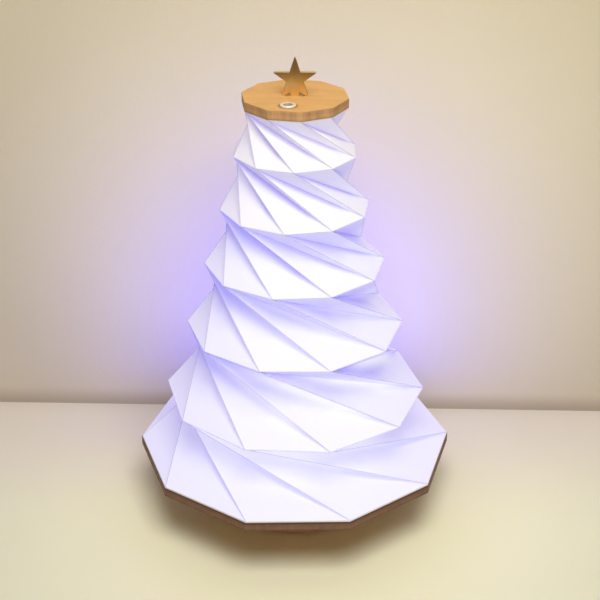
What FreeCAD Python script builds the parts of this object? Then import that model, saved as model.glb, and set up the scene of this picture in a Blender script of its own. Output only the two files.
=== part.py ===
import FreeCAD, Part
import math
import os

# A folding tree lamp: a twisted ten-sided paper shade in six tiers between two plywood plates, on a round
# housing that holds the cell, the charger and the light. Millimetres, +Z up, the origin on the table under
# the middle of the lamp, the push button facing -Y.

# Folded paper shade, from the top tier to the bottom one
SIDES = 10
TOP_RING_R = 30.7
BASE_RING_R = 100.0
SHADE_H = 224.0
TIER_SHARE = (0.122, 0.153, 0.164, 0.187, 0.205, 0.169)
TIER_TWIST = (64.1, 65.2, 66.2, 67.7, 68.8, 76.3)
FOLD_STEPS = 2
PAPER_T = 0.5
HEM_T = 0.8
BASE_HEM_W = 12.0

# Plywood plates, both cut from one board
PLY_T = 5.5
TOP_OVERHANG = 0.9
BASE_OVERHANG = 0.4

# Disc that clamps the top end of the shade under the top plate
HEM_LAP = 3.6
HEM_CLEAR = 0.3
CLAMP_LIP = 1.6
CLAMP_LIP_GAP = 0.1
CLAMP_SCREW_EDGE = 8.6
CLAMP_SCREW_ANGLES = (90, 180, 270)

# Star on its tab
STAR_R = 13.3
STAR_NOTCH_SHARE = 0.382
STAR_POINTS = 5
STAR_T = 3.0
STAR_TIP_ROUND = 0.25
STAR_SUNK = 1.05
STAR_TURN = 10.0
TAB_W = 4.8
SLOT_CLEAR = 0.1

# Push button: bezel through the top plate, button, snap dome, body and nut
SWITCH_EDGE = 5.6
BEZEL_HEAD_R = 4.5
BEZEL_HEAD_T = 0.9
BEZEL_ROUND = 0.35
BARREL_R = 4.0
BUTTON_R = 2.5
BUTTON_SUNK = 0.3
BUTTON_DISH = 0.35
BUTTON_CLEAR = 0.3
BUTTON_COLLAR = 0.6
BUTTON_COLLAR_T = 1.0
SHOULDER_DEPTH = 2.1
DOME_H = 1.0
DOME_T = 0.15
DOME_RIM = 0.4
NIB_R = 1.0
NIB_H = 0.8
NUT_FLATS = 10.0
NUT_SIDES = 6
NUT_T = 2.0
NUT_ROOM = 0.7
NUT_SUNK = 0.4
FIT_CLEAR = 0.2

# Round housing with its foot pad
HOUSING_R = 56.0
HOUSING_WALL = 3.0
HOUSING_FLOOR = 3.0
HOUSING_ROUND = 1.5
PAD_T = 2.0
PAD_INSET = 2.0
BOSS_R = 5.0
BOSS_MERGE = 0.5
BOSSES = 4

# Light board, its chips and the frosted disc over it
BOARD_T = 1.6
BOARD_BOSS_GAP = 3.5
BOARD_LAP = 4.0
DIFFUSER_T = 2.2
DIFFUSER_CLEAR = 0.3
CHIP_SIZE = 3.5
CHIP_T = 1.0
CHIP_RINGS = (6, 12)
CHIP_RING_STEP = 12.0
BOARD_SCREW_EDGE = 2.0

# Cell, its holder and contacts
CELL_R = 9.2
CELL_L = 65.0
CELL_BACK = -8.0
CELL_CLEAR = 0.3
HOLDER_FLOOR = 1.5
HOLDER_WALL = 1.2
HOLDER_END = 1.8
HOLDER_SIDE_H = 12.0
HOLDER_END_H = 16.0
CONTACT_T = 0.5
CONTACT_W = 10.0
WIRE_ROOM = 6.9

# Charging board with its socket in the back of the housing
CHARGER_W = 18.0
CHARGER_L = 25.0
CHARGER_BACK_GAP = 1.6
CHARGER_POST_R = 2.4
CHARGER_POST_H = 4.0
CHARGER_POST_EDGE = 2.5
SOCKET_W = 8.94
SOCKET_H = 3.26
SOCKET_L = 8.3
SOCKET_SET = 0.8
SOCKET_WALL = 0.3
SOCKET_DEPTH = 6.2
SOCKET_CLEAR = 0.3
TONGUE_W = 6.6
TONGUE_T = 0.7
TONGUE_L = 4.5

# Leads
LEAD_R = 1.1
LEAD_Y = -6.0
LEAD_DROP = 10.0
LEAD_SLANT = 30.0
LEAD_BEND = 11.0
LEAD_HOLE_CLEAR = 0.6
WIRE_R = 0.8
WIRE_BEND = 2.6
WIRE_Y = 4.0
WIRE_X = 5.0
FEED_X = -5.0

# Screws: shank radius, head radius and head height
PLATE_SCREW = (1.6, 3.4, 2.2)
CLAMP_SCREW = (0.9, 1.9, 1.0)
SMALL_SCREW = (1.0, 1.9, 1.2)
PLATE_SCREW_L = 20.0
CLAMP_SCREW_L = 4.4
BOARD_SCREW_L = 4.0
CHARGER_SCREW_L = 4.6
SCREW_CLEAR = 0.15
PILOT_EXTRA = 0.6

TIERS = len(TIER_SHARE)
UP = FreeCAD.Vector(0, 0, 1)
FULL_TURN = 360.0
SECTOR = FULL_TURN / SIDES
NEAR = 0.001

# Heights that the pieces share, from the table up
HOUSING_Z = PAD_T
FLOOR_Z = HOUSING_Z + HOUSING_FLOOR
CELL_Z = FLOOR_Z + HOLDER_FLOOR + CELL_CLEAR + CELL_R
BOARD_Z = CELL_Z + CELL_R + WIRE_ROOM
BASE_PLATE_Z = BOARD_Z + BOARD_T
BASE_TOP_Z = BASE_PLATE_Z + PLY_T
SHADE_Z = BASE_TOP_Z + HEM_T
SHADE_TOP_Z = SHADE_Z + SHADE_H
TOP_PLATE_Z = SHADE_TOP_Z + HEM_T
TOP_Z = TOP_PLATE_Z + PLY_T

# Radii that fit one another
TOP_PLATE_R = TOP_RING_R + TOP_OVERHANG
BASE_PLATE_R = BASE_RING_R + BASE_OVERHANG
CLAMP_R = TOP_RING_R * math.cos(math.radians(SECTOR / 2)) - HEM_LAP
SWITCH_Y = SWITCH_EDGE - CLAMP_R
HOUSING_BORE = HOUSING_R - HOUSING_WALL
BOSS_CIRCLE = HOUSING_BORE + BOSS_MERGE - BOSS_R
BOARD_R = BOSS_CIRCLE - BOSS_R - BOARD_BOSS_GAP
LIGHT_R = BOARD_R - BOARD_LAP
DIFFUSER_R = BOARD_R - DIFFUSER_CLEAR


def at_angle(radius, angle, z):
    # A point on a circle round the lamp, with the angle counted from the front towards the right
    turn = math.radians(angle)
    return FreeCAD.Vector(radius * math.sin(turn), -radius * math.cos(turn), z)


def ring(radius, phase, z):
    return [at_angle(radius, phase + SECTOR * side, z) for side in range(SIDES)]


def panel(*corners):
    return Part.Face(Part.makePolygon(list(corners) + [corners[0]]))


def plate(radius, phase, z, height):
    # A flat ten-sided plate
    return panel(*ring(radius, phase, z)).extrude(UP * height)


def rod(radius, height, x, y, z):
    return Part.makeCylinder(radius, height, FreeCAD.Vector(x, y, z))


def box(width, depth, height, x, y, z):
    # A block centred on x and y, standing on z
    return Part.makeBox(width, depth, height, FreeCAD.Vector(x - width / 2, y - depth / 2, z))


def turned(profile):
    # A body turned round the Z axis from (radius, height) corners
    outline = [FreeCAD.Vector(radius, 0, z) for radius, z in profile]
    return panel(*outline).revolve(FreeCAD.Vector(0, 0, 0), UP, FULL_TURN)


def tube(points, bend, radius):
    # A round lead along straight runs, with a tangent arc at each corner
    edges = []
    last = points[0]
    for before, corner, after in zip(points, points[1:], points[2:]):
        back = (before - corner).normalize()
        ahead = (after - corner).normalize()
        half = back.getAngle(ahead) / 2
        reach = bend / math.tan(half)
        start = corner + back * reach
        end = corner + ahead * reach
        middle = corner + (back + ahead).normalize() * (bend / math.sin(half) - bend)
        edges.append(Part.LineSegment(last, start).toShape())
        edges.append(Part.Arc(start, middle, end).toShape())
        last = end
    edges.append(Part.LineSegment(last, points[-1]).toShape())
    path = Part.Wire(edges)
    section = Part.Wire(Part.makeCircle(radius, points[0], points[1] - points[0]))
    return path.makePipeShell([section], True, False)


def screw(kind, length, tip_up):
    # A countersunk screw on the Z axis with its head's flat face at z = 0
    shank_r, head_r, head_h = kind
    way = 1 if tip_up else -1
    profile = ((0, 0), (head_r, 0), (shank_r, way * head_h), (shank_r, way * length), (0, way * length))
    return turned(profile)


def screw_room(kind, length, tip_up):
    # The hole that a countersunk screw needs: its own shape, wider and longer by its clearances
    shank_r, head_r, head_h = kind
    wide = (shank_r + SCREW_CLEAR, head_r + SCREW_CLEAR, head_h)
    return screw(wide, length + PILOT_EXTRA, tip_up)


def placed(shape, places):
    # Copies of one shape at each place
    copies = []
    for place in places:
        copy = shape.copy()
        copy.translate(place)
        copies.append(copy)
    return copies


def save(name, shape):
    shape.exportStep("parts/" + name + ".step")


os.makedirs("parts", exist_ok=True)

# Rings of the shade: each grows on the one above by the same share and stands turned by its tier's twist
GROWTH = (BASE_RING_R / TOP_RING_R) ** (1 / TIERS)
RING_R = [TOP_RING_R * GROWTH ** level for level in range(TIERS + 1)]
RING_Z = [SHADE_TOP_Z - SHADE_H * sum(TIER_SHARE[:level]) for level in range(TIERS + 1)]
RING_PHASE = [SECTOR / 2]
for twist in TIER_TWIST:
    RING_PHASE.append(RING_PHASE[-1] + twist - FOLD_STEPS * SECTOR)
BASE_PHASE = RING_PHASE[-1]


def face_normal(a, b, c):
    return (b - a).cross(c - a).normalize()


def inner_corner(corner, normals):
    # The corner moved in its own level so that the wall stays about as thick as the paper behind each panel
    xx = sum(n.x * n.x for n in normals)
    xy = sum(n.x * n.y for n in normals)
    yy = sum(n.y * n.y for n in normals)
    x = sum(n.x for n in normals)
    y = sum(n.y for n in normals)
    scale = PAPER_T / (xx * yy - xy * xy)
    return corner + FreeCAD.Vector((y * xy - x * yy) * scale, (x * xy - y * xx) * scale, 0)


def tier(level):
    # One tier of the twisted cone: ten panels that lean out and ten that tuck under the rim above
    upper = ring(RING_R[level], RING_PHASE[level], RING_Z[level])
    lower = ring(RING_R[level + 1], RING_PHASE[level + 1], RING_Z[level + 1])
    low = [lower[(side + FOLD_STEPS) % SIDES] for side in range(SIDES)]
    nexts = [(side + 1) % SIDES for side in range(SIDES)]
    lean = [face_normal(upper[i], low[i], low[nexts[i]]) for i in range(SIDES)]
    tuck = [face_normal(upper[i], low[nexts[i]], upper[nexts[i]]) for i in range(SIDES)]
    upper_in = [inner_corner(upper[i], (tuck[i - 1], tuck[i], lean[i])) for i in range(SIDES)]
    low_in = [inner_corner(low[i], (lean[i - 1], lean[i], tuck[i - 1])) for i in range(SIDES)]
    faces = []
    for i, j in enumerate(nexts):
        faces.append(panel(upper[i], low[i], low[j]))
        faces.append(panel(upper[i], low[j], upper[j]))
        faces.append(panel(upper_in[i], low_in[j], low_in[i]))
        faces.append(panel(upper_in[i], upper_in[j], low_in[j]))
        faces.append(panel(upper[i], upper[j], upper_in[j], upper_in[i]))
        faces.append(panel(low[i], low_in[i], low_in[j], low[j]))
    return Part.makeSolid(Part.makeShell(faces))


for level in range(TIERS):
    save("shade_tier_%d" % (level + 1), tier(level))

# Hems: flat rings of the same paper, doubled, that end the shade on each plate. The upper layer of the top
# one reaches further in than the lower, over the lip of the clamp disc.
base_hem = plate(BASE_RING_R, BASE_PHASE, BASE_TOP_Z, HEM_T)
base_hem = base_hem.cut(plate(BASE_RING_R - BASE_HEM_W, BASE_PHASE, BASE_TOP_Z, HEM_T))
save("shade_bottom_hem", base_hem)

top_hem = plate(TOP_RING_R, RING_PHASE[0], SHADE_TOP_Z, HEM_T)
top_hem = top_hem.cut(rod(CLAMP_R + HEM_CLEAR, HEM_T, 0, 0, SHADE_TOP_Z))
hem_layer = HEM_T / 2
top_hem = top_hem.cut(rod(CLAMP_R + CLAMP_LIP + HEM_CLEAR, hem_layer, 0, 0, SHADE_TOP_Z))
save("shade_top_hem", top_hem)

# Clamp disc: a boss in the round hole of the hem with a lip under its upper layer, screwed up into the top
# plate and level with the hem below, so that the shade can fold flat against it
clamp_low = SHADE_TOP_Z
clamp = rod(CLAMP_R, HEM_T, 0, 0, clamp_low)
clamp = clamp.fuse(rod(CLAMP_R + CLAMP_LIP, hem_layer - CLAMP_LIP_GAP, 0, 0, clamp_low)).removeSplitter()
barrel_room = BARREL_R + FIT_CLEAR
clamp = clamp.cut(rod(barrel_room, PLY_T, 0, SWITCH_Y, clamp_low))
clamp_screw_r = CLAMP_R - CLAMP_SCREW_EDGE
clamp_places = [at_angle(clamp_screw_r, angle, clamp_low) for angle in CLAMP_SCREW_ANGLES]
for room in placed(screw_room(CLAMP_SCREW, CLAMP_SCREW_L, True), clamp_places):
    clamp = clamp.cut(room)
save("top_clamp_disc", clamp)
save("top_clamp_screws", Part.Compound(placed(screw(CLAMP_SCREW, CLAMP_SCREW_L, True), clamp_places)))

# Top plate: slot for the star, hole for the switch with a pocket for its nut, holes for the clamp screws
top_plate = plate(TOP_PLATE_R, RING_PHASE[0], TOP_PLATE_Z, PLY_T)
star_slot = box(TAB_W + 2 * SLOT_CLEAR, STAR_T + 2 * SLOT_CLEAR, PLY_T, 0, 0, TOP_PLATE_Z)
star_slot.rotate(FreeCAD.Vector(0, 0, 0), UP, STAR_TURN)
top_plate = top_plate.cut(star_slot)
top_plate = top_plate.cut(rod(barrel_room, PLY_T, 0, SWITCH_Y, TOP_PLATE_Z))
nut_corner_r = NUT_FLATS / 2 / math.cos(math.pi / NUT_SIDES)
nut_pocket_h = NUT_SUNK + NUT_T
top_plate = top_plate.cut(rod(nut_corner_r + NUT_ROOM, nut_pocket_h, 0, SWITCH_Y, TOP_PLATE_Z))
for room in placed(screw_room(CLAMP_SCREW, CLAMP_SCREW_L, True), clamp_places):
    top_plate = top_plate.cut(room)
save("top_plate", top_plate)

# Star: a flat five-pointed star with rounded tips, its feet cut level to stand on the plate, on a tab
# through the slot, turned a little from the line of the button
star_z = TOP_Z - STAR_SUNK + STAR_R * math.cos(math.pi / STAR_POINTS)
star_corners = []
for step in range(2 * STAR_POINTS):
    reach = STAR_R if step % 2 == 0 else STAR_R * STAR_NOTCH_SHARE
    turn = math.pi * step / STAR_POINTS
    star_corners.append(FreeCAD.Vector(reach * math.sin(turn), -STAR_T / 2, star_z + reach * math.cos(turn)))
star = panel(*star_corners).extrude(FreeCAD.Vector(0, STAR_T, 0))
tips = star_corners[::2]
tip_edges = [edge for edge in star.Edges if any(edge.distToShape(Part.Vertex(tip))[0] < NEAR for tip in tips)
             and abs(edge.Length - STAR_T) < NEAR]
star = star.makeFillet(STAR_TIP_ROUND, tip_edges)
star = star.cut(box(2 * STAR_R, STAR_T, STAR_SUNK, 0, 0, TOP_Z - STAR_SUNK))
star = star.fuse(box(TAB_W, STAR_T, star_z - TOP_PLATE_Z, 0, 0, TOP_PLATE_Z)).removeSplitter()
star.rotate(FreeCAD.Vector(0, 0, 0), UP, STAR_TURN)
save("star", star)

# Switch bezel: a rounded head on a hollow barrel, with a shoulder that keeps the button in
head_top = TOP_Z + BEZEL_HEAD_T
shoulder_z = TOP_Z - SHOULDER_DEPTH
barrel_low = TOP_PLATE_Z
bore_r = BUTTON_R + BUTTON_CLEAR
collar_r = BUTTON_R + BUTTON_COLLAR
well_r = collar_r + BUTTON_CLEAR
bezel = rod(BEZEL_HEAD_R, BEZEL_HEAD_T, 0, SWITCH_Y, TOP_Z)
rim = [edge for edge in bezel.Edges if abs(edge.BoundBox.ZMin - head_top) < NEAR]
bezel = bezel.makeFillet(BEZEL_ROUND, rim)
bezel = bezel.fuse(rod(BARREL_R, TOP_Z - barrel_low, 0, SWITCH_Y, barrel_low)).removeSplitter()
bezel = bezel.cut(rod(bore_r, head_top - shoulder_z, 0, SWITCH_Y, shoulder_z))
bezel = bezel.cut(rod(well_r, shoulder_z - barrel_low, 0, SWITCH_Y, barrel_low))
save("switch_bezel", bezel)

# Button: a dished stem with a collar under the shoulder and a nib that works the snap dome
button_top = head_top - BUTTON_SUNK
collar_low = shoulder_z - BUTTON_COLLAR_T
nib_low = collar_low - NIB_H
button = rod(BUTTON_R, button_top - shoulder_z, 0, SWITCH_Y, shoulder_z)
button = button.fuse(rod(collar_r, BUTTON_COLLAR_T, 0, SWITCH_Y, collar_low))
button = button.fuse(rod(NIB_R, NIB_H, 0, SWITCH_Y, nib_low)).removeSplitter()
dish_edge_r = BUTTON_R - BUTTON_DISH
dish_ball_r = (dish_edge_r ** 2 + BUTTON_DISH ** 2) / (2 * BUTTON_DISH)
dish_z = button_top + dish_ball_r - BUTTON_DISH
button = button.cut(Part.makeSphere(dish_ball_r, FreeCAD.Vector(0, SWITCH_Y, dish_z)))
save("switch_button", button)

# Snap dome: a thin sprung cap under the nib, standing on the switch body
dome_low = nib_low - DOME_H
dome_r = well_r - DOME_RIM
dome_ball_r = (dome_r ** 2 + DOME_H ** 2) / (2 * DOME_H)
dome_centre = FreeCAD.Vector(0, SWITCH_Y, nib_low - dome_ball_r)
dome = Part.makeSphere(dome_ball_r, dome_centre).cut(Part.makeSphere(dome_ball_r - DOME_T, dome_centre))
dome = dome.common(rod(well_r, DOME_H, 0, SWITCH_Y, dome_low))
save("switch_dome", dome)

# Switch body: a plug in the barrel with a flange against its lower end, in the clamp disc's hole
body = rod(well_r - FIT_CLEAR, dome_low - barrel_low, 0, SWITCH_Y, barrel_low)
body_low = clamp_low
body = body.fuse(rod(BARREL_R, barrel_low - body_low, 0, SWITCH_Y, body_low)).removeSplitter()
save("switch_body", body)

# Nut: a thin hexagon on the barrel, sunk in its pocket under the top plate
nut_z = TOP_PLATE_Z + NUT_SUNK
nut_corners = []
for corner in range(NUT_SIDES):
    turn = 2 * math.pi * corner / NUT_SIDES
    across = nut_corner_r * math.cos(turn)
    along = nut_corner_r * math.sin(turn)
    nut_corners.append(FreeCAD.Vector(across, SWITCH_Y + along, nut_z))
nut = panel(*nut_corners).extrude(UP * NUT_T)
nut = nut.cut(rod(BARREL_R + FIT_CLEAR, NUT_T, 0, SWITCH_Y, nut_z))
save("switch_nut", nut)

# Base plate: opening for the light with a seat for the diffuser, holes for the plate and light board screws
base_plate = plate(BASE_PLATE_R, BASE_PHASE, BASE_PLATE_Z, PLY_T)
base_plate = base_plate.cut(rod(LIGHT_R, PLY_T, 0, 0, BASE_PLATE_Z))
base_plate = base_plate.cut(rod(DIFFUSER_R + DIFFUSER_CLEAR, DIFFUSER_T, 0, 0, BASE_TOP_Z - DIFFUSER_T))
boss_angles = [FULL_TURN / BOSSES * (boss + 0.5) for boss in range(BOSSES)]
plate_screw_places = [at_angle(BOSS_CIRCLE, angle, BASE_TOP_Z) for angle in boss_angles]
plate_screw_rooms = placed(screw_room(PLATE_SCREW, PLATE_SCREW_L, False), plate_screw_places)
board_screw_z = BOARD_Z - SMALL_SCREW[2]
board_screw_r = BOARD_R - BOARD_SCREW_EDGE
board_angles = [FULL_TURN / BOSSES * boss for boss in range(BOSSES)]
board_screw_places = [at_angle(board_screw_r, angle, 0) for angle in board_angles]
for room in plate_screw_rooms:
    base_plate = base_plate.cut(room)
pilot_r = SMALL_SCREW[0] + SCREW_CLEAR
board_screw_reach = board_screw_z + SMALL_SCREW[2] + BOARD_SCREW_L
for place in board_screw_places:
    pilot_h = board_screw_reach - BASE_PLATE_Z + SCREW_CLEAR
    base_plate = base_plate.cut(rod(pilot_r, pilot_h, place.x, place.y, BASE_PLATE_Z))
save("base_plate", base_plate)
save("base_screws", Part.Compound(placed(screw(PLATE_SCREW, PLATE_SCREW_L, False), plate_screw_places)))

# Housing: a round cup with corner bosses, posts for the charging board and a slot for its socket
charger_z = FLOOR_Z + CHARGER_POST_H
charger_top = charger_z + BOARD_T
charger_back = HOUSING_BORE - CHARGER_BACK_GAP
charger_y = charger_back - CHARGER_L / 2
post_x = CHARGER_W / 2 - CHARGER_POST_EDGE
post_y = CHARGER_L / 2 - CHARGER_POST_EDGE
post_places = [FreeCAD.Vector(sx * post_x, charger_y + sy * post_y, 0) for sx in (-1, 1) for sy in (-1, 1)]
housing_h = BASE_PLATE_Z - HOUSING_Z
housing = rod(HOUSING_R, housing_h, 0, 0, HOUSING_Z)
foot_edge = [edge for edge in housing.Edges if abs(edge.BoundBox.ZMax - HOUSING_Z) < NEAR]
housing = housing.makeFillet(HOUSING_ROUND, foot_edge)
housing = housing.cut(rod(HOUSING_BORE, housing_h, 0, 0, FLOOR_Z))
boss_room = rod(HOUSING_BORE + BOSS_MERGE, housing_h, 0, 0, HOUSING_Z)
for place in plate_screw_places:
    housing = housing.fuse(rod(BOSS_R, BASE_PLATE_Z - FLOOR_Z, place.x, place.y, FLOOR_Z).common(boss_room))
for place in post_places:
    housing = housing.fuse(rod(CHARGER_POST_R, CHARGER_POST_H, place.x, place.y, FLOOR_Z))
housing = housing.removeSplitter()
for room in plate_screw_rooms:
    housing = housing.cut(room)
for place in post_places:
    housing = housing.cut(rod(pilot_r, CHARGER_POST_H, place.x, place.y, FLOOR_Z))


def rounded_bar(width, height, depth, back, z):
    # A bar along Y with half-round sides, from y = back, its middle at height z
    side = height / 2
    flat = box(width - height, depth, height, 0, back + depth / 2, z - side)
    for sign in (-1, 1):
        centre = FreeCAD.Vector(sign * (width / 2 - side), back, z)
        flat = flat.fuse(Part.makeCylinder(side, depth, centre, FreeCAD.Vector(0, 1, 0)))
    return flat.removeSplitter()


socket_z = charger_top + SOCKET_H / 2
socket_back = HOUSING_R - SOCKET_SET - SOCKET_L
slot_w = SOCKET_W + 2 * SOCKET_CLEAR
slot_h = SOCKET_H + 2 * SOCKET_CLEAR
slot_back = charger_back
housing = housing.cut(rounded_bar(slot_w, slot_h, HOUSING_R - slot_back, slot_back, socket_z))
save("base_housing", housing)

# Foot pad: a flat disc under the housing
save("foot_pad", rod(HOUSING_R - PAD_INSET, PAD_T, 0, 0, 0))

# Light board under the base plate, its chips in two rings, its screws and the frosted disc in its seat
light_board = rod(BOARD_R, BOARD_T, 0, 0, BOARD_Z)
for place in board_screw_places:
    light_board = light_board.cut(rod(pilot_r, BOARD_T, place.x, place.y, BOARD_Z))
save("light_board", light_board)

chips = []
for row, count in enumerate(CHIP_RINGS):
    for chip in range(count):
        spot = at_angle(CHIP_RING_STEP * (row + 1), FULL_TURN * chip / count, BASE_PLATE_Z)
        chips.append(box(CHIP_SIZE, CHIP_SIZE, CHIP_T, spot.x, spot.y, spot.z))
save("light_chips", Part.Compound(chips))

small_shank, small_head, small_head_h = SMALL_SCREW
pan_screws = []
for place in board_screw_places:
    pan = rod(small_head, small_head_h, place.x, place.y, board_screw_z)
    shank = rod(small_shank, board_screw_reach - board_screw_z, place.x, place.y, board_screw_z)
    pan_screws.append(pan.fuse(shank).removeSplitter())
save("light_board_screws", Part.Compound(pan_screws))

diffuser = rod(DIFFUSER_R, DIFFUSER_T, 0, 0, BASE_TOP_Z - DIFFUSER_T)
diffuser = diffuser.cut(rod(LEAD_R + LEAD_HOLE_CLEAR, DIFFUSER_T, 0, LEAD_Y, BASE_TOP_Z - DIFFUSER_T))
save("light_diffuser", diffuser)

# Cell holder on the housing floor, with a contact at each end of the cell
bay_l = CELL_L + 2 * CONTACT_T
bay_w = 2 * (CELL_R + CELL_CLEAR)
bay_z = FLOOR_Z + HOLDER_FLOOR
holder_l = bay_l + 2 * HOLDER_END
holder_w = bay_w + 2 * HOLDER_WALL
holder = box(holder_l, holder_w, HOLDER_END_H, 0, CELL_BACK, FLOOR_Z)
holder = holder.cut(box(bay_l, bay_w, HOLDER_END_H, 0, CELL_BACK, bay_z))
holder = holder.cut(box(bay_l, holder_w, HOLDER_END_H, 0, CELL_BACK, FLOOR_Z + HOLDER_SIDE_H))
save("cell_holder", holder)

cell_start = FreeCAD.Vector(-CELL_L / 2, CELL_BACK, CELL_Z)
save("cell", Part.makeCylinder(CELL_R, CELL_L, cell_start, FreeCAD.Vector(1, 0, 0)))

end_top = FLOOR_Z + HOLDER_END_H
lip_x = CELL_L / 2 + CONTACT_T + HOLDER_END / 2
contacts = []
for sign in (-1, 1):
    leaf_x = sign * (CELL_L + CONTACT_T) / 2
    leaf = box(CONTACT_T, CONTACT_W, end_top + CONTACT_T - bay_z, leaf_x, CELL_BACK, bay_z)
    lip = box(HOLDER_END, CONTACT_W, CONTACT_T, sign * lip_x, CELL_BACK, end_top)
    contacts.append(leaf.fuse(lip).removeSplitter())
save("cell_contacts", Part.Compound(contacts))

# Cell leads: one from each contact, over the cell holder and down to the charging board
wire_z = (CELL_Z + CELL_R + board_screw_z) / 2
cell_leads = []
for sign in (-1, 1):
    wire_end_y = charger_y - WIRE_Y
    run = (
        FreeCAD.Vector(sign * lip_x, CELL_BACK, end_top + CONTACT_T),
        FreeCAD.Vector(sign * lip_x, CELL_BACK, wire_z),
        FreeCAD.Vector(sign * WIRE_X, wire_end_y, wire_z),
        FreeCAD.Vector(sign * WIRE_X, wire_end_y, charger_top),
    )
    cell_leads.append(tube(run, WIRE_BEND, WIRE_R))
save("cell_leads", Part.Compound(cell_leads))

# Charging board on its posts, held by four screws, and the feed up to the light board
charger = box(CHARGER_W, CHARGER_L, BOARD_T, 0, charger_y, charger_z)
charger_screws = []
for place in post_places:
    charger = charger.cut(rod(pilot_r, BOARD_T, place.x, place.y, charger_z))
    pan = rod(small_head, small_head_h, place.x, place.y, charger_top)
    shank_z = charger_top + small_head_h - CHARGER_SCREW_L
    shank = rod(small_shank, CHARGER_SCREW_L, place.x, place.y, shank_z)
    charger_screws.append(pan.fuse(shank).removeSplitter())
save("charging_board", charger)
save("charging_board_screws", Part.Compound(charger_screws))
save("light_feed", rod(LEAD_R, BOARD_Z - charger_top, FEED_X, charger_y, charger_top))

# Charging socket: a flat-oval metal shell with its tongue, on the board and in the housing's slot
socket = rounded_bar(SOCKET_W, SOCKET_H, SOCKET_L, socket_back, socket_z)
mouth_w = SOCKET_W - 2 * SOCKET_WALL
mouth_h = SOCKET_H - 2 * SOCKET_WALL
mouth_back = socket_back + SOCKET_L - SOCKET_DEPTH
socket = socket.cut(rounded_bar(mouth_w, mouth_h, SOCKET_DEPTH, mouth_back, socket_z))
tongue = box(TONGUE_W, TONGUE_L, TONGUE_T, 0, mouth_back + TONGUE_L / 2, socket_z - TONGUE_T / 2)
socket = socket.fuse(tongue).removeSplitter()
save("charging_socket", socket)

# Switch lead: from the switch body to the middle of the shade, then straight down to the light board
lead_run = (
    FreeCAD.Vector(0, SWITCH_Y, body_low),
    FreeCAD.Vector(0, SWITCH_Y, body_low - LEAD_DROP),
    FreeCAD.Vector(0, LEAD_Y, body_low - LEAD_DROP - LEAD_SLANT),
    FreeCAD.Vector(0, LEAD_Y, BASE_PLATE_Z),
)
save("switch_lead", tube(lead_run, LEAD_BEND, LEAD_R))
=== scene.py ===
import math

import bpy
import bmesh
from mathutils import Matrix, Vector


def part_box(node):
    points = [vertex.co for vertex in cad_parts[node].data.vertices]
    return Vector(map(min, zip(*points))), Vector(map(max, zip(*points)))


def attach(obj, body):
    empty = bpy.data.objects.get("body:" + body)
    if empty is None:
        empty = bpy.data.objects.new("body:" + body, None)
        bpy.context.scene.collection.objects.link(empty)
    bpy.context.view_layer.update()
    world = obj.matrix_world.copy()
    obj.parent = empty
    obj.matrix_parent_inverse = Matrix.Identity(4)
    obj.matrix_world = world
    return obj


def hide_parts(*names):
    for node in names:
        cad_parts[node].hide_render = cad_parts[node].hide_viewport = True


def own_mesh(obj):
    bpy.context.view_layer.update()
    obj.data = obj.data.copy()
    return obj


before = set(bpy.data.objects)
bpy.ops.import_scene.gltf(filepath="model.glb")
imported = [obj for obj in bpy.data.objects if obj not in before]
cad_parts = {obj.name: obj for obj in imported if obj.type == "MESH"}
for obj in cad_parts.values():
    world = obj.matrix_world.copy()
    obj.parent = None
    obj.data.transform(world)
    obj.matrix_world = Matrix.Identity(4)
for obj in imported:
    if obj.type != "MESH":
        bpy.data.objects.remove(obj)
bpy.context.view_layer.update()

# The table and the wall behind it: a cream table top and a warm pale painted wall, close behind the lamp.
# Both carry a faint mottle and a painted pool of light, painted duller away from the lamp; the table is
# painted warmer towards the wall, painted bounce light from it, and the wall has a painted shadow line along
# its foot. The wall is a sheet with one face, so it isn't in the way from behind.
mm = 0.001
scene = bpy.context.scene
scene.view_settings.view_transform = "Standard"


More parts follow.
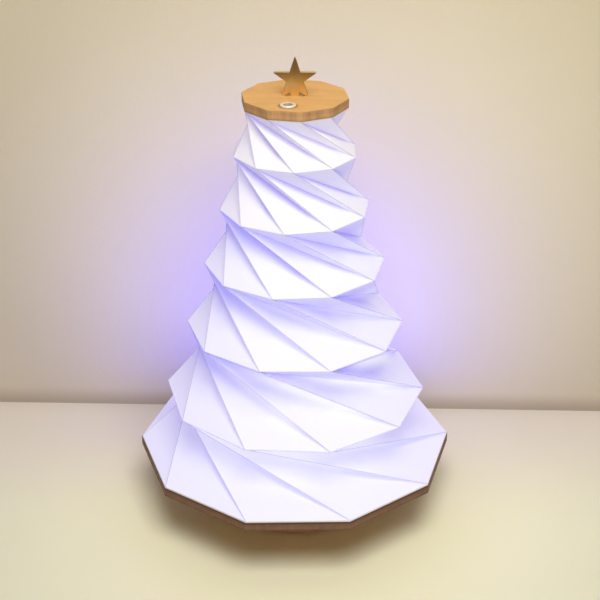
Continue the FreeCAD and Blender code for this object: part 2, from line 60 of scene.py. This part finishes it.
class Shade:
    """One output of a shader tree, so that sums on it are written as plain Python."""

    def __init__(self, tree, output=None):
        self.tree = tree
        self.output = output

    def make(self, kind, settings=None, inputs=None, output=0):
        made = self.tree.nodes.new(kind)
        for name, value in (settings or {}).items():
            setattr(made, name, value)
        for name, value in (inputs or {}).items():
            if isinstance(value, Shade):
                self.tree.links.new(value.output, made.inputs[name])
            else:
                made.inputs[name].default_value = value
        return Shade(self.tree, made.outputs[output] if made.outputs else None)

    def sum(self, operation, left, right):
        return self.make("ShaderNodeMath", {"operation": operation}, {0: left, 1: right})

    def __add__(self, other):
        return self.sum("ADD", self, other)

    __radd__ = __add__

    def __sub__(self, other):
        return self.sum("SUBTRACT", self, other)

    def __rsub__(self, other):
        return self.sum("SUBTRACT", other, self)

    def __mul__(self, other):
        return self.sum("MULTIPLY", self, other)

    __rmul__ = __mul__

    def step(self, start, end):
        return self.make("ShaderNodeMapRange", {"interpolation_type": "SMOOTHSTEP"},
                         {"Value": self, "From Min": start, "From Max": end})

    def noise(self, where, scale, detail=3.0, rough=0.5):
        return self.make("ShaderNodeTexNoise", {}, {"Vector": where, "Scale": scale, "Detail": detail,
                                                    "Roughness": rough})

    def mix(self, share, low, high):
        return self.make("ShaderNodeMix", {"data_type": "RGBA"}, {0: share, 6: low, 7: high}, 2)

    def place(self, stretch=(1, 1, 1)):
        at = self.make("ShaderNodeTexCoord", {}, {}, "Object")
        return self.make("ShaderNodeMapping", {}, {"Vector": at, "Scale": stretch})

    def parts(self):
        split = self.make("ShaderNodeSeparateXYZ", {}, {"Vector": self})
        return [Shade(self.tree, out) for out in split.output.node.outputs]

    def mark(self, name, output="Fac"):
        return self.make("ShaderNodeAttribute", {"attribute_name": name}, {}, output)

    def facing(self):
        return self.make("ShaderNodeTexCoord", {}, {}, "Normal").parts()

    def bump(self, height, depth, strength=1.0):
        return self.make("ShaderNodeBump", {}, {"Height": height, "Distance": depth, "Strength": strength})

    def close(self, inputs):
        surface = self.make("ShaderNodeBsdfPrincipled", {}, inputs)
        self.make("ShaderNodeOutputMaterial", {}, {"Surface": surface})


def finish(name):
    made = bpy.data.materials.new(name)
    made.use_nodes = True
    made.node_tree.nodes.clear()
    return made, Shade(made.node_tree)


def solid_piece(name, mesh, surface):
    made = bpy.data.objects.new(name, mesh)
    scene.collection.objects.link(made)
    made.data.materials.append(surface)
    return made


def sheet(name, corners, surface):
    mesh = bpy.data.meshes.new(name)
    mesh.from_pydata(corners, [], [range(len(corners))])
    made = solid_piece(name, mesh, surface)
    return made


camera_turn = math.radians(11.25)
aside = Vector((math.cos(camera_turn), math.sin(camera_turn), 0))
back = Vector((-math.sin(camera_turn), math.cos(camera_turn), 0))

table_top, draw = finish("table_top")
mottle = draw.noise(draw.place(), 9.0, 4.0)
x, y, _ = draw.place().parts()
# Painted light: the cream is painted duller away from the lamp, a painted pool of light, and warmer towards the
# wall, painted bounce light from it.
cream_in_painted_pool = draw.mix(mottle, (0.89, 0.885, 0.655, 1), (0.94, 0.935, 0.70, 1))
cream_painted_dim = draw.mix(mottle, (0.75, 0.76, 0.60, 1), (0.80, 0.81, 0.645, 1))
cream_painted_wall_bounce = draw.mix(mottle, (0.745, 0.69, 0.61, 1), (0.80, 0.745, 0.655, 1))
painted_pool_falloff = (x * x + y * y).step(0.005, 0.055)
painted_wall_bounce_share = (x * back.x + y * back.y).step(-0.05, 0.09)
draw.close({"Base Color": draw.mix(painted_wall_bounce_share, draw.mix(painted_pool_falloff, cream_in_painted_pool, cream_painted_dim), cream_painted_wall_bounce),
            "Roughness": 0.62, "Normal": draw.bump(draw.noise(draw.place(), 700.0), 0.05 * mm)})
reach = 5.0
table_corners = [(-reach, -reach, 0), (reach, -reach, 0), (reach, reach, 0), (-reach, reach, 0)]
table = sheet("table", table_corners, table_top)

wall_back = 99.5 * mm
wall_skew = math.radians(1.68)
wall_half = 3
wall_rise = Vector((0, 0, 2.5))
wall_foot = back * wall_back
wall_run = (aside - back * math.tan(wall_skew)).normalized()
# Painted light on the wall: a pool of light round the lamp, painted duller away from it.
pool_aside = 20 * mm
pool_high = 150 * mm
pool_squat = 1.3
# Painted shadow: a dark line along the wall's foot, where the table meets it.
foot_shadow_high = 16 * mm
foot_shadow_share = 0.75
wall_paint, draw = finish("wall_paint")
mottle = draw.noise(draw.place(), 7.0, 4.0)
x, y, height = draw.place().parts()
along = x * wall_run.x + y * wall_run.y - pool_aside
above = height - pool_high
paint_in_painted_pool = draw.mix(mottle, (0.87, 0.80, 0.495, 1), (0.92, 0.85, 0.535, 1))
paint_painted_dim = draw.mix(mottle, (0.68, 0.62, 0.41, 1), (0.725, 0.665, 0.445, 1))
painted_pool_falloff = (along * along + pool_squat * (above * above)).step(0.0, 0.07)
painted_foot_shadow = foot_shadow_share - foot_shadow_share * height.step(0.0, foot_shadow_high)
painted = draw.make("ShaderNodeBsdfDiffuse", {}, {
    "Color": draw.mix(painted_foot_shadow, draw.mix(painted_pool_falloff, paint_in_painted_pool, paint_painted_dim), (0.44, 0.375, 0.24, 1)),
    "Normal": draw.bump(draw.noise(draw.place(), 500.0), 0.1 * mm)})
unseen = draw.make("ShaderNodeBsdfTransparent")
behind = draw.make("ShaderNodeNewGeometry", {}, {}, "Backfacing")
one_sided = draw.make("ShaderNodeMixShader", {}, {0: behind, 1: painted, 2: unseen})
draw.make("ShaderNodeOutputMaterial", {}, {"Surface": one_sided})
wall_left, wall_right = wall_foot - wall_run * wall_half, wall_foot + wall_run * wall_half
wall = sheet("wall", [wall_left, wall_right, wall_right + wall_rise, wall_left + wall_rise], wall_paint)

# The camera and the light: a soft lamp overhead, one in front for the lamp alone, one for the wall and table,
# and an even pale surround. The lamp's own violet light reaches the wall as a halo, from a light that shines
# on the wall alone and goes down with the shade as it folds. A dark card shows in the star's mirror faces only.
camera_away = 705.2 * mm
camera_high = 493.0 * mm
camera_down = math.radians(26.7)
view = bpy.data.cameras.new("view")
view.lens = 76.1
view.shift_x = 0.0085
camera = bpy.data.objects.new("view", view)
camera.location = back * -camera_away + Vector((0, 0, camera_high))
camera.rotation_euler = (math.radians(90) - camera_down, 0, camera_turn)
scene.collection.objects.link(camera)
scene.camera = camera



def area_light(name, size, energy, tint, at, toward):
    lamp = bpy.data.lights.new(name, "AREA")
    lamp.size = size
    lamp.energy = energy
    lamp.color = tint
    made = bpy.data.objects.new(name, lamp)
    made.location = at
    made.rotation_mode = "QUATERNION"
    made.rotation_quaternion = toward.to_track_quat("Z", "Y")
    scene.collection.objects.link(made)
    return made


def group(name, parts, state="INCLUDE"):
    made = bpy.data.collections.new(name)
    for row, part in enumerate(parts):
        made.objects.link(part)
        made.collection_objects[row].light_linking.link_state = state
    return made


room_white = (1.0, 0.985, 0.955)
from_above = back * -0.48 + aside * 0.07 + Vector((0, 0, 1.0))
area_light("overhead", 0.6, 6.6, room_white, from_above, from_above)

fill_away = 1.35
fill_aim = Vector((0, 0, 0.12))
from_front = (back * -1.2 + aside * 0.22 + Vector((0, 0, 0.35))).normalized()
fill_at = fill_aim + from_front * fill_away
front_fill = area_light("front_fill", 1.0, 9.2, (1.0, 0.98, 0.96), fill_at, from_front)
off_room = group("off_room", (table, wall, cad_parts["star"]), "EXCLUDE")
front_fill.light_linking.receiver_collection = off_room

wash_at = back * -0.35 + aside * 0.12 + Vector((0, 0, 0.95))
room_wash = area_light("room_wash", 0.5, 1.5, room_white, wash_at, back * -0.45 + Vector((0, 0, 0.5)))
room_wash.light_linking.receiver_collection = group("room", (table, wall))

halo = bpy.data.lights.new("halo", "POINT")
halo.energy = 1.75
halo.color = (0.06, 0.05, 1.0)
halo.shadow_soft_size = 45 * mm
glow = bpy.data.objects.new("halo", halo)
glow.location = back * 45 * mm + Vector((0, 0, 82 * mm))
scene.collection.objects.link(glow)
glow.light_linking.receiver_collection = group("lit_by_halo", (wall,))
glow.light_linking.blocker_collection = group("stops_halo", (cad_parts["base_plate"],))
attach(glow, "shade_top")

card_board, draw = finish("dark_card")
mottle = draw.noise(draw.place(), 30.0)
draw.close({"Base Color": draw.mix(mottle, (0.095, 0.067, 0.036, 1), (0.13, 0.092, 0.05, 1)), "Roughness": 0.9})
card_near = back * -0.16 + Vector((0, 0, 3 * mm))
card_far = back * -1.2 + Vector((0, 0, 0.9))
card_corners = [card_near - aside, card_far - aside, card_far + aside, card_near + aside]
card = sheet("dark_card", card_corners, card_board)
card.visible_camera = False
card.visible_diffuse = False
card.visible_shadow = False

surround = bpy.data.worlds.new("surround")
surround.use_nodes = True
surround.node_tree.nodes.clear()
scene.world = surround
draw = Shade(surround.node_tree)
ray = {name: draw.make("ShaderNodeLightPath", {}, {}, name)
       for name in ("Is Camera Ray", "Is Glossy Ray", "Is Transmission Ray")}
seen = draw.sum("MAXIMUM", ray["Is Glossy Ray"], ray["Is Transmission Ray"])
seen = draw.sum("MAXIMUM", ray["Is Camera Ray"], seen)
fill = draw.make("ShaderNodeBackground", {}, {"Color": (1.0, 0.74, 0.62, 1), "Strength": 0.19})
shown = draw.make("ShaderNodeBackground", {}, {"Color": (0.80, 0.74, 0.62, 1), "Strength": 1.0})
either = draw.make("ShaderNodeMixShader", {}, {0: seen, 1: fill, 2: shown})
draw.make("ShaderNodeOutputWorld", {}, {"Surface": either})

# Foot pad: a disc of dense dark brown foam rubber, stuck under the housing so that the lamp doesn't slide.
# Its skin shows the closed cells of the foam.


def dress(surface, *names):
    for name in names:
        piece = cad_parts[name]
        piece.data.materials.clear()
        piece.data.materials.append(surface)


foam, draw = finish("foam_rubber")
cells = draw.make("ShaderNodeTexVoronoi", {}, {"Vector": draw.place(), "Scale": 1600.0}, "Distance")
worn = draw.noise(draw.place(), 60.0)
draw.close({"Base Color": draw.mix(worn, (0.20, 0.075, 0.032, 1), (0.29, 0.115, 0.050, 1)),
            "Roughness": 0.82 + 0.12 * cells, "Normal": draw.bump(cells, 0.10 * mm, 0.8)})
dress(foam, "foot_pad")

# Housing: a round cup moulded in dark brown plastic, with a fine spark-eroded grain.
# It hangs under the base plate on four screws and holds the cell and the charging board.
housing, draw = finish("housing_plastic")
grain = draw.noise(draw.place(), 2200.0, 2.0)
flow = draw.noise(draw.place((1, 1, 3)), 24.0)
draw.close({"Base Color": draw.mix(flow, (0.20, 0.098, 0.052, 1), (0.27, 0.135, 0.072, 1)),
            "Roughness": 0.42 + 0.2 * grain, "Normal": draw.bump(grain, 0.06 * mm, 0.7)})
dress(housing, "base_housing")

# Screws: small screws of zinc-plated steel, with a soft bluish bloom in the plating. They hold the housing and
# the two boards in the base and the clamp disc under the top plate.
screw_steel, draw = finish("zinc_plated_steel")
bloom = draw.noise(draw.place(), 900.0, 4.0)
draw.close({"Base Color": draw.mix(bloom, (0.52, 0.53, 0.55, 1), (0.70, 0.70, 0.68, 1)), "Metallic": 1.0,
            "Roughness": 0.26 + 0.22 * bloom, "Normal": draw.bump(bloom, 0.02 * mm, 0.5)})
dress(screw_steel, "base_screws", "charging_board_screws", "light_board_screws", "top_clamp_screws")

# Charging socket: a drawn stainless shell on the edge of the charging board, its mouth in the housing's wall.
# Drawing leaves fine lines along it.
socket_metal, draw = finish("drawn_stainless")
lines = draw.noise(draw.place((1, 0.05, 1)), 3000.0)
draw.close({"Base Color": draw.mix(lines, (0.50, 0.50, 0.50, 1), (0.66, 0.65, 0.63, 1)), "Metallic": 1.0,
            "Roughness": 0.22 + 0.2 * lines, "Normal": draw.bump(lines, 0.01 * mm, 0.6)})
dress(socket_metal, "charging_socket")

# Charging board: a dark green glass-fibre board, its tracks showing as paler lines under the lacquer.
# It stands on four posts of the housing, with a screw in each.
board, draw = finish("green_board")
tracks = draw.make("ShaderNodeTexBrick", {"offset": 0.35}, {
    "Vector": draw.place(), "Scale": 240.0, "Mortar Size": 0.06,
    "Color1": (0, 0, 0, 1), "Color2": (0, 0, 0, 1), "Mortar": (1, 1, 1, 1)}, "Fac")
weave = draw.noise(draw.place(), 2500.0)
draw.close({"Base Color": draw.mix(tracks * 0.6 + weave * 0.2, (0.010, 0.060, 0.028, 1), (0.05, 0.20, 0.09, 1)),
            "Roughness": 0.28 + 0.15 * weave, "Normal": draw.bump(tracks + weave * 0.3, 0.03 * mm)})
dress(board, "charging_board")

# Cell and its holder: a rolled steel can in a plain blue film sleeve, in a black nylon cradle between two
# plated contact leaves. The cradle stands on the housing's floor. The switch's body is of the same nylon.
sleeve, draw = finish("film_sleeve")
shrink = draw.noise(draw.place((1, 6, 6)), 120.0)
draw.close({"Base Color": draw.mix(shrink, (0.03, 0.10, 0.26, 1), (0.05, 0.14, 0.33, 1)),
            "Roughness": 0.30 + 0.15 * shrink, "Normal": draw.bump(shrink, 0.05 * mm, 0.5), "Coat Weight": 0.3})
dress(sleeve, "cell")

nylon, draw = finish("black_nylon")
grain = draw.noise(draw.place(), 1800.0)
draw.close({"Base Color": draw.mix(grain, (0.014, 0.014, 0.015, 1), (0.035, 0.035, 0.036, 1)),
            "Roughness": 0.48 + 0.2 * grain, "Normal": draw.bump(grain, 0.05 * mm, 0.7)})
dress(nylon, "cell_holder", "switch_body")

plated, draw = finish("nickel_plate")
tarnish = draw.noise(draw.place(), 500.0, 4.0)
draw.close({"Base Color": draw.mix(tarnish, (0.60, 0.57, 0.50, 1), (0.74, 0.72, 0.66, 1)), "Metallic": 1.0,
            "Roughness": 0.2 + 0.25 * tarnish})
dress(plated, "cell_contacts")

# Leads: stranded copper in a soft grey-white jacket, from the cell to the boards and up to the push switch.
# The switch's lead hangs inside the shade, carried by the base.
jacket, draw = finish("lead_jacket")
rubbed = draw.noise(draw.place(), 700.0)
draw.close({"Base Color": draw.mix(rubbed, (0.50, 0.50, 0.52, 1), (0.66, 0.66, 0.67, 1)),
            "Roughness": 0.45 + 0.2 * rubbed, "Normal": draw.bump(rubbed, 0.03 * mm)})
dress(jacket, "cell_leads", "light_feed")

lead_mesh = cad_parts["switch_lead"].data.copy()
lead_mesh.materials.clear()
lead = solid_piece("switch_lead_jacket", lead_mesh, jacket)
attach(lead, "base")
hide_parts("switch_lead")
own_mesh(lead)

# Light board: a white-lacquered disc with eighteen light chips round it, under a frosted diffuser.
# The chips are pale ceramic with a phosphor-yellow face, and give the violet-white light of the lamp.
lacquer, draw = finish("white_lacquered_board")
rings = draw.make("ShaderNodeTexWave", {"wave_type": "RINGS", "rings_direction": "Z"},
                  {"Vector": draw.place(), "Scale": 60.0, "Distortion": 0.4})
speck = draw.noise(draw.place(), 2000.0)
draw.close({"Base Color": draw.mix(rings * 0.3 + speck * 0.2, (0.80, 0.80, 0.78, 1), (0.66, 0.67, 0.66, 1)),
            "Roughness": 0.35 + 0.15 * speck, "Normal": draw.bump(rings, 0.02 * mm)})
dress(lacquer, "light_board")

chip, draw = finish("light_chip")
dome = draw.noise(draw.place(), 1500.0)
draw.close({"Base Color": draw.mix(dome, (0.80, 0.76, 0.45, 1), (0.86, 0.83, 0.58, 1)),
            "Roughness": 0.3 + 0.1 * dome, "Emission Strength": 1.0,
            "Emission Color": draw.mix(dome, (0.55, 0.48, 0.95, 1), (0.65, 0.60, 1.0, 1))})
dress(chip, "light_chips")

frosted, draw = finish("frosted_diffuser")
frost = draw.noise(draw.place(), 3000.0)
cloud = draw.noise(draw.place(), 90.0)
draw.close({"Base Color": draw.mix(cloud, (0.82, 0.82, 0.86, 1), (0.90, 0.90, 0.93, 1)),
            "Roughness": 0.5 + 0.2 * frost, "Normal": draw.bump(frost, 0.04 * mm), "Transmission Weight": 0.25})
dress(frosted, "light_diffuser")

# Plates: ten-sided plates of thin birch plywood, cut by laser. The faces show a fine straight grain,
# and the edges are toasted brown, with the veneers as lighter and darker layers. A darker ring round the
# switch hole is painted shade round the bezel, and the base plate's face is darker near its rim. Each edge is
# painted darker along its foot, a painted shadow under the plate; the base plate's edge is also darker along
# its top.


def plywood(name, node, face_dark, face_light, edge_dark, edge_light, hole, top_line_share):
    hole_from, hole_to = 4.7, 6.8
    rim_from, rim_to = 88.0, 93.0
    layers = 3.0
    made, draw = finish(name)
    low, high = (corner.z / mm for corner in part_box(node))
    east, north, rise = draw.place((1 / mm, 1 / mm, 1 / mm)).parts()
    flat = draw.sum("ABSOLUTE", draw.facing()[2], 0.0).step(0.6, 0.8)
    sway = draw.noise(draw.place((1, 3, 1)), 30.0, 3.0)
    figure = draw.noise(draw.place((7, 110, 7)), 14.0, 5.0, 0.6)
    pores = draw.noise(draw.place((1, 16, 1)), 260.0, 3.0, 0.65).step(0.52, 0.72)
    wood_and_painted_shade = draw.mix(figure * 0.5 + (sway * 1.8 - 0.4) * 0.5, (*face_dark, 1), (*face_light, 1))
    wood_and_painted_shade = draw.mix(pores * 0.30, wood_and_painted_shade, (*[0.55 * v for v in face_dark], 1))
    # Painted shade: a darker ring round the switch hole, where the bezel stands; the base plate's face is also
    # darker near its rim.
    off = draw.sum("POWER", east * east + (north - hole) * (north - hole), 0.5)
    blotch = draw.noise(draw.place(), 350.0, 3.0)
    painted_hole_shade = (1.0 - off.step(hole_from, hole_to)) * (0.5 + blotch * 0.6)
    hole_shade_and_rim_ring = draw.sum("MAXIMUM", painted_hole_shade, off.step(rim_from, rim_to))
    wood_and_painted_shade = draw.mix(hole_shade_and_rim_ring * 0.85, wood_and_painted_shade, (0.13, 0.055, 0.035, 1))
    layer = draw.sum("PINGPONG", (rise - low) * (layers / (high - low)), 1.0).step(0.35, 0.65)
    streak = draw.noise(draw.place((1, 1, 0.10)), 420.0, 6.0, 0.7).step(0.3, 0.7)
    patch = draw.noise(draw.place(), 150.0, 3.0)
    toasted_edge_and_shadow = draw.mix(layer * 0.15 + streak * 0.4 + patch * 0.7 - 0.15, (*edge_dark, 1), (*edge_light, 1))
    # Painted shadow: each edge is darker along its foot, under the plate; the base plate's edge is also darker
    # along its top.
    rise = rise + blotch * 0.5
    lower = 1.0 - rise.step(low + 0.2, low + 0.9)
    upper = rise.step(high - 1.2 * top_line_share, high - 0.5 * top_line_share) * top_line_share
    edge_shadow_and_top_line = draw.sum("MAXIMUM", lower * 0.7, upper * 0.9)
    toasted_edge_and_shadow = draw.mix(edge_shadow_and_top_line, toasted_edge_and_shadow, (*[0.5 * v for v in edge_dark], 1))
    draw.close({"Base Color": draw.mix(flat, toasted_edge_and_shadow, wood_and_painted_shade), "Roughness": 0.52 + 0.22 * streak,
                "Normal": draw.bump(figure * flat + streak * (1.0 - flat) + pores * -0.5, 0.06 * mm, 0.7)})
    dress(made, node)


plywood("base_plywood", "base_plate", (0.42, 0.25, 0.12), (0.58, 0.38, 0.20), (0.088, 0.038, 0.020),
        (0.21, 0.105, 0.058), 0.0, 1.0)
switch_low, switch_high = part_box("switch_bezel")
plywood("top_plywood", "top_plate", (0.54, 0.29, 0.093), (0.80, 0.465, 0.172), (0.27, 0.135, 0.056),
        (0.58, 0.335, 0.148), (switch_low.y + switch_high.y) / 2 / mm, 0.0)

# Shade: one sheet of stiff white translucent paper, scored and folded into six twisted tiers.
# Each tier has ten pairs of panels between ridge and valley folds. Lit from inside, the paper glows;
# the glow is paler towards each tier's rim and, in the middle tiers, violet where the panels tuck in under the
# tier above, painted shade from its overhang. Colour and glow are also painted darker beside the valley folds
# and along the scored folds, and the glow's tints change from the top tiers to the lower ones.
hem_paper, draw = finish("hem_paper")
fibre = draw.noise(draw.place(), 2600.0, 4.0, 0.6)
draw.close({"Base Color": draw.mix(fibre, (0.62, 0.62, 0.55, 1), (0.70, 0.70, 0.63, 1)),
            "Roughness": 0.74 + 0.14 * fibre, "Normal": draw.bump(fibre, 0.05 * mm, 0.5)})
dress(hem_paper, "shade_bottom_hem", "shade_top_hem")

paper, draw = finish("folded_paper")
ridge, valley, rim = draw.mark("fold", "Vector").parts()
tier_mark = draw.mark("tier")
tuck = draw.mark("tuck")
depth = draw.mark("depth")
fibre = draw.noise(draw.place(), 2600.0, 4.0, 0.6)
flock = draw.noise(draw.place(), 300.0, 3.0)
cloud = draw.noise(draw.place(), 45.0, 3.0)
# The folds are scored, and the grey lines along the valley, ridge and rim folds are also painted shade in the
# folds, in the paper's colour and in its glow.
crease = 1.0 - valley.step(0.15, 0.75)
edge = 1.0 - ridge.step(0.15, 0.70)
lip = (1.0 - rim.step(0.10, 0.45)) * (1.0 - tuck)
score_lines_and_fold_shade = draw.sum("MAXIMUM", crease * 0.18, draw.sum("MAXIMUM", edge * 0.60, lip * 0.40))
# Painted shade beside the valley folds: the paper's colour and its glow are painted darker there.
beside_fold = 1.0 - (valley * (1.0 - 0.55 * tier_mark.step(4.0, 5.0))).step(0.3, 5.0)
painted_valley_shade = beside_fold * (depth - 0.14 * tier_mark.step(5.0, 6.0)).step(0.08, 0.30) * (1.0 - tuck)
painted_valley_shade = painted_valley_shade * (1.0 - depth.step(0.50, 0.95) * tier_mark.step(3.0, 4.0))
paper_and_painted_shade = draw.mix(flock, (0.635, 0.665, 0.49, 1), (0.665, 0.695, 0.52, 1))
paper_and_painted_shade = draw.mix(painted_valley_shade * 0.55 * (1.0 - tier_mark.step(2.5, 3.7)), paper_and_painted_shade, (0.45, 0.43, 0.47, 1))
paper_and_painted_shade = draw.mix(score_lines_and_fold_shade, paper_and_painted_shade, (0.36, 0.34, 0.34, 1))
# Painted shade under the tier above: in the middle tiers the glow turns violet towards the top of each panel.
painted_overhang_shade = (depth + (cloud - 0.5) * 0.4).step(0.20, 0.80)
up_high = 1.0 - tier_mark.step(1.0, 3.0)
tucked_in = 0.88 - 0.88 * tier_mark.step(1.0, 3.2) + 0.90 * tier_mark.step(5.0, 6.0)
lean_share = 0.43 + painted_overhang_shade * (tucked_in - 0.43)
tuck_share = 0.50 + 0.05 * up_high - 0.28 * painted_overhang_shade
share = lean_share + tuck * (tuck_share - lean_share)
fold_share = draw.sum("MINIMUM", (tier_mark - 2.0) * (tier_mark - 2.0) * 0.11, 1.0)
share = share + painted_valley_shade * (fold_share - share)
violet = draw.mix(up_high, (0.025, 0.0, 0.53, 1), (0.03, 0.0, 0.38, 1))
pale = draw.mix(up_high, (0.415, 0.40, 0.54, 1), (0.43, 0.39, 0.46, 1))
glow_and_painted_shade = draw.mix(share, violet, pale)
glow_and_painted_shade = draw.mix(flock * 0.10, glow_and_painted_shade, (0.03, 0.0, 0.46, 1))
glow_and_painted_shade = draw.mix(score_lines_and_fold_shade, glow_and_painted_shade, (0.03, 0.0, 0.27, 1))
draw.close({"Base Color": paper_and_painted_shade, "Roughness": 0.74 + 0.14 * fibre, "Emission Color": glow_and_painted_shade,
            "Emission Strength": 1.0, "Normal": draw.bump(fibre + flock * 0.6, 0.05 * mm, 0.5)})

sides = 10
tiers = 6
twist_least, twist_most = 46, 82
lean_bow = 0.35 * mm
tuck_bow = -0.30 * mm
paper_thick = 0.5 * mm
sharp = math.radians(8)


def ring_corners(name, level):
    level_slack, reach_slack = 0.02 * mm, 0.05 * mm
    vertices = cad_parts[name].data.vertices
    points = [v.co.copy() for v in vertices if abs(v.co.z - level) < level_slack]
    reach = max(p.xy.length for p in points)
    found = {}
    for p in points:
        if p.xy.length > reach - reach_slack:
            found.setdefault(round(math.degrees(math.atan2(p.y, p.x))), p)
    return [found[turn] for turn in sorted(found)]


def turn_between(a, b):
    return math.degrees(math.atan2(b.y, b.x) - math.atan2(a.y, a.x)) % 360


def panel(bm, corners, bow, tucked):
    cells = 14
    crown = 27
    a, b, c = corners
    out = (b - a).cross(c - a)
    area = out.length
    out.normalize()
    far = (area / (c - b).length / mm, area / (c - a).length / mm, area / (b - a).length / mm)
    grid = {}
    for i in range(cells + 1):
        for j in range(cells + 1 - i):
            share = (1 - (i + j) / cells, i / cells, j / cells)
            at = a * share[0] + b * share[1] + c * share[2]
            at = at + out * bow * crown * share[0] * share[1] * share[2]
            grid[i, j] = (bm.verts.new(at), (far[2] * share[2], far[1] * share[1], far[0] * share[0]))
    for i in range(cells):
        for j in range(cells - i):
            trios = [((i, j), (i + 1, j), (i, j + 1))]
            if j < cells - i - 1:
                trios.append(((i + 1, j), (i + 1, j + 1), (i, j + 1)))
            for trio in trios:
                face = bm.faces.new([grid[k][0] for k in trio])
                face.smooth = True
                face[bm.faces.layers.float["tuck"]] = tucked
                for loop, k in zip(face.loops, trio):
                    loop[bm.loops.layers.float_vector["fold"]] = grid[k][1]


for tier in range(1, tiers + 1):
    cad = "shade_tier_%d" % tier
    low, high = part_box(cad)
    upper = ring_corners(cad, high.z)
    lower = ring_corners(cad, low.z)
    first = next(k for k in range(sides) if twist_least < turn_between(upper[0], lower[k]) < twist_most)
    bm = bmesh.new()
    bm.faces.layers.float.new("tuck")
    bm.loops.layers.float_vector.new("fold")
    for i in range(sides):
        v, v_next = upper[i], upper[(i + 1) % sides]
        u, u_next = lower[(i + first) % sides], lower[(i + first + 1) % sides]
        panel(bm, (v, u, u_next), lean_bow, 0.0)
        panel(bm, (u_next, v_next, v), tuck_bow, 1.0)
    bmesh.ops.remove_doubles(bm, verts=bm.verts, dist=0.001 * mm)
    for fold in bm.edges:
        fold.smooth = fold.calc_face_angle(math.pi) < sharp
    mesh = bpy.data.meshes.new("paper_tier_%d" % tier)
    bm.to_mesh(mesh)
    bm.free()
    made = mesh.attributes.new("tier", "FLOAT", "FACE")
    made.data.foreach_set("value", [tier] * len(mesh.polygons))
    made = mesh.attributes.new("depth", "FLOAT", "POINT")
    made.data.foreach_set("value", [(v.co.z - low.z) / (high.z - low.z) for v in mesh.vertices])
    piece = solid_piece("paper_tier_%d" % tier, mesh, paper)
    thick = piece.modifiers.new("thickness", "SOLIDIFY")
    thick.thickness = paper_thick
    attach(piece, "base")
    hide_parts(cad)
    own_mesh(piece)

# Clamp disc: a disc of thin brown fibreboard under the top plate, held by three screws.
# It carries the shade's top hem between its lip and the plate, so that the hem can turn as the shade folds.
fibreboard, draw = finish("brown_fibreboard")
strands = draw.noise(draw.place((1, 1, 6)), 800.0, 5.0, 0.65)
draw.close({"Base Color": draw.mix(strands, (0.44, 0.31, 0.18, 1), (0.60, 0.45, 0.28, 1)),
            "Roughness": 0.78 + 0.12 * strands, "Normal": draw.bump(strands, 0.05 * mm)})
dress(fibreboard, "top_clamp_disc")

# Push switch: a turned metal bezel through the top plate, held by a nut below, with a sprung metal button.
# The metal is finely speckled and made half matt and pale, a painted sheen that keeps the bezel bright all
# round;
# the button is dished and darker, and flattens a snap dome under it.
sheen_metal, draw = finish("turned_metal_painted_sheen")
speck = draw.noise(draw.place(), 2600.0, 4.0)
# Painted sheen: the bezel's metal is half matt and pale, so it shows bright all round.
draw.close({"Base Color": draw.mix(speck, (0.82, 0.80, 0.76, 1), (0.90, 0.89, 0.86, 1)), "Metallic": 0.4,
            "Roughness": 0.22 + 0.16 * speck, "Normal": draw.bump(speck, 0.01 * mm, 0.5)})
dress(sheen_metal, "switch_bezel", "switch_nut")

button, draw = finish("button_metal")
speck = draw.noise(draw.place(), 1800.0, 4.0)
draw.close({"Base Color": draw.mix(speck, (0.36, 0.32, 0.27, 1), (0.48, 0.44, 0.38, 1)), "Metallic": 1.0,
            "Roughness": 0.28 + 0.2 * speck, "Normal": draw.bump(speck, 0.01 * mm, 0.5)})
dress(button, "switch_button")

spring, draw = finish("spring_steel")
tint = draw.noise(draw.place(), 700.0)
draw.close({"Base Color": draw.mix(tint, (0.50, 0.50, 0.52, 1), (0.62, 0.62, 0.63, 1)), "Metallic": 1.0,
            "Roughness": 0.24 + 0.16 * tint})
dome_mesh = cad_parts["switch_dome"].data.copy()
dome_mesh.materials.clear()
dome = solid_piece("snap_dome", dome_mesh, spring)
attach(dome, "top")
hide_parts("switch_dome")
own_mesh(dome)

# Star: cut from mirror-gold sheet three millimetres thick, standing in a slot of the top plate.
# The faces are mirrors with faint rub marks; the cut edges are matt, painted paler where they face up and
# brown where they face sideways: painted light and shade.
gold, draw = finish("mirror_gold")
face = draw.sum("ABSOLUTE", draw.facing()[1], 0.0).step(0.8, 0.95)
rub = draw.noise(draw.place((1, 1, 0.2)), 900.0, 4.0)
# Painted light and shade: the cut edges are paler where they face up and brown where they face sideways.
cut_edge_painted_light = draw.mix(draw.facing()[2].step(0.3, 0.8), (0.20, 0.12, 0.055, 1), (0.66, 0.53, 0.29, 1))
mirror = draw.mix(rub, (0.80, 0.57, 0.23, 1), (0.88, 0.64, 0.28, 1))
draw.close({"Base Color": draw.mix(face, cut_edge_painted_light, mirror), "Metallic": 0.45 + 0.52 * face,
            "Roughness": 0.42 - 0.16 * face + 0.06 * rub, "Normal": draw.bump(rub, 0.004 * mm, 0.4)})
dress(gold, "star")
